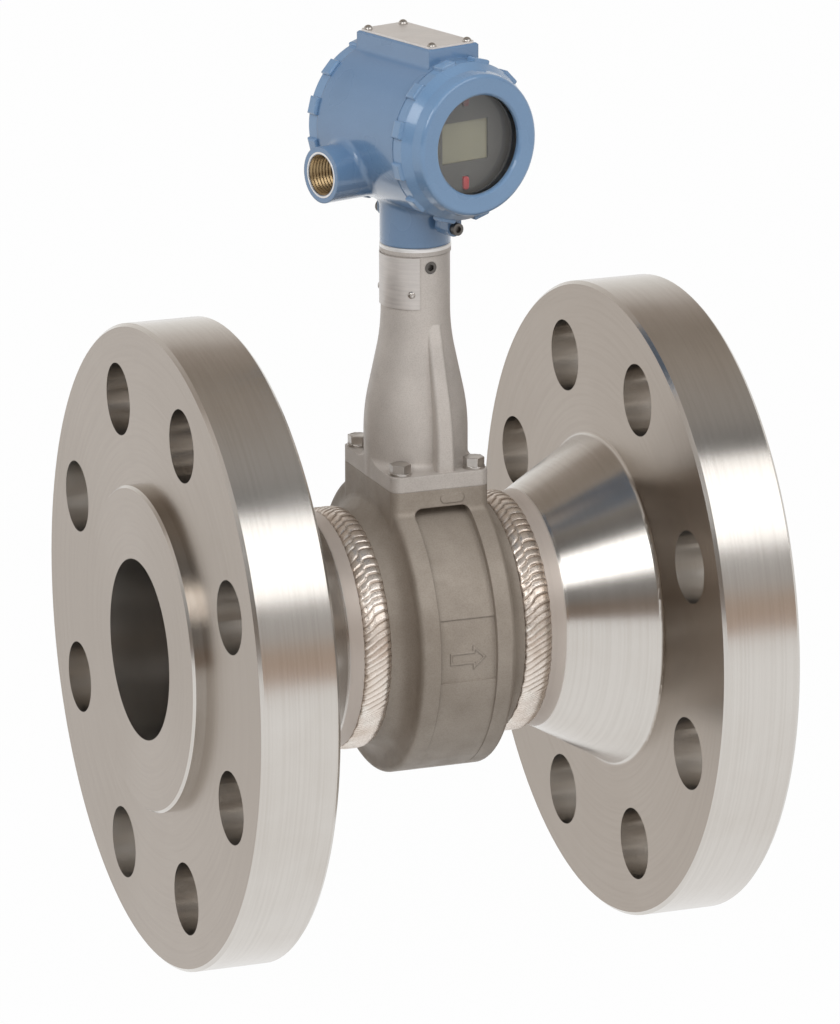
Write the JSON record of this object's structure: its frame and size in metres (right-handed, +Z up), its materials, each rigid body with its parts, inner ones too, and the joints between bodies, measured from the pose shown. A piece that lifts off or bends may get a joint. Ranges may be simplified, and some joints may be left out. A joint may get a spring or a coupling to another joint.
{
  "type": "vortex flow meter",
  "caption": "Vortex flow meter: cast body with an upright bluff bar, welded between raised-face weld-neck flanges; a column carries a turnable housing with a display and screwed covers.",
  "frame": {"origin": "centre of the bore at the inlet raised face", "axes": "+X along the pipe with the flow, +Z up along the column, +Y to the back"},
  "size_m": [0.282, 0.311, 0.4457],
  "materials": {
    "machined_steel": "turned stainless steel with fine lathe marks",
    "weld_metal": "bright overlapping weld ripples",
    "body_casting": "blasted stainless casting, matte and warm grey",
    "column_casting": "blasted stainless casting, light grey",
    "bolt_steel": "stainless steel",
    "tag_metal": "thin satin plate",
    "dark_steel": "dark stainless screws",
    "blue_paint": "semi-gloss blue paint on cast aluminium",
    "plate_metal": "brushed plate",
    "seal_rubber": "black rubber",
    "window_glass": "clear tempered glass",
    "dark_plastic": "dark moulding",
    "lcd_glass": "grey-green liquid crystal panel",
    "red_plastic": "red moulding",
    "brass_screw": "nickel-plated brass"
  },
  "bodies": {
    "meter": {"inlet_flange": "machined_steel", "outlet_flange": "machined_steel", "inlet_weld": "weld_metal", "outlet_weld": "weld_metal", "meter_body": "body_casting", "sensor": "bolt_steel", "sensor_nut": "bolt_steel", "support_column": "column_casting", "column_bolts": "bolt_steel", "tag_plate": "tag_metal", "tag_rivets": "bolt_steel", "neck_screws": "dark_steel"},
    "housing": {"electronics_housing": "blue_paint", "neck_seal": "seal_rubber", "nameplate": "plate_metal", "nameplate_screws": "bolt_steel", "cover_lock_screws": "dark_steel", "conduit_plug": "dark_steel", "electronics_module": "dark_plastic", "module_screws": "bolt_steel", "display_module": "dark_plastic", "lcd_panel": "lcd_glass", "display_jumpers": "red_plastic", "terminal_block": "dark_plastic", "terminal_screws": "brass_screw", "block_screws": "brass_screw", "earth_screw": "brass_screw"},
    "display_seal": {"display_cover_seal": "seal_rubber"},
    "display_cover": {"display_cover": "blue_paint", "window_gasket": "seal_rubber", "display_window": "window_glass", "window_retainer": "bolt_steel"},
    "rear_seal": {"rear_cover_seal": "seal_rubber"},
    "rear_cover": {"rear_cover": "blue_paint"}
  },
  "joints": [
    {"name": "housing_turn", "type": "hinge", "parent": "meter", "child": "housing", "pos_m": [0.141, 0, 0.188], "axis": [0, 0, 1], "range_deg": [-180, 180]},
    {"name": "display_cover_lift", "type": "slide", "parent": "housing", "child": "display_seal", "axis": [0.2756, -0.9613, 0], "range_m": [0, 0.0121]},
    {"name": "display_cover_turn", "type": "hinge", "parent": "display_seal", "child": "display_cover", "pos_m": [0.1501, -0.03172, 0.2435], "axis": [0.2756, -0.9613, 0], "range_deg": [0, 2160]},
    {"name": "rear_cover_lift", "type": "slide", "parent": "housing", "child": "rear_seal", "axis": [-0.2756, 0.9613, 0], "range_m": [0, 0.0121]},
    {"name": "rear_cover_turn", "type": "hinge", "parent": "rear_seal", "child": "rear_cover", "pos_m": [0.13356, 0.02595, 0.2435], "axis": [-0.2756, 0.9613, 0], "range_deg": [0, 2160]}
  ],
  "couplings": [
    {"joint": "display_cover_lift", "follows": "display_cover_turn", "m_per_rad": 0.00031831},
    {"joint": "rear_cover_lift", "follows": "rear_cover_turn", "m_per_rad": 0.00031831}
  ]
}
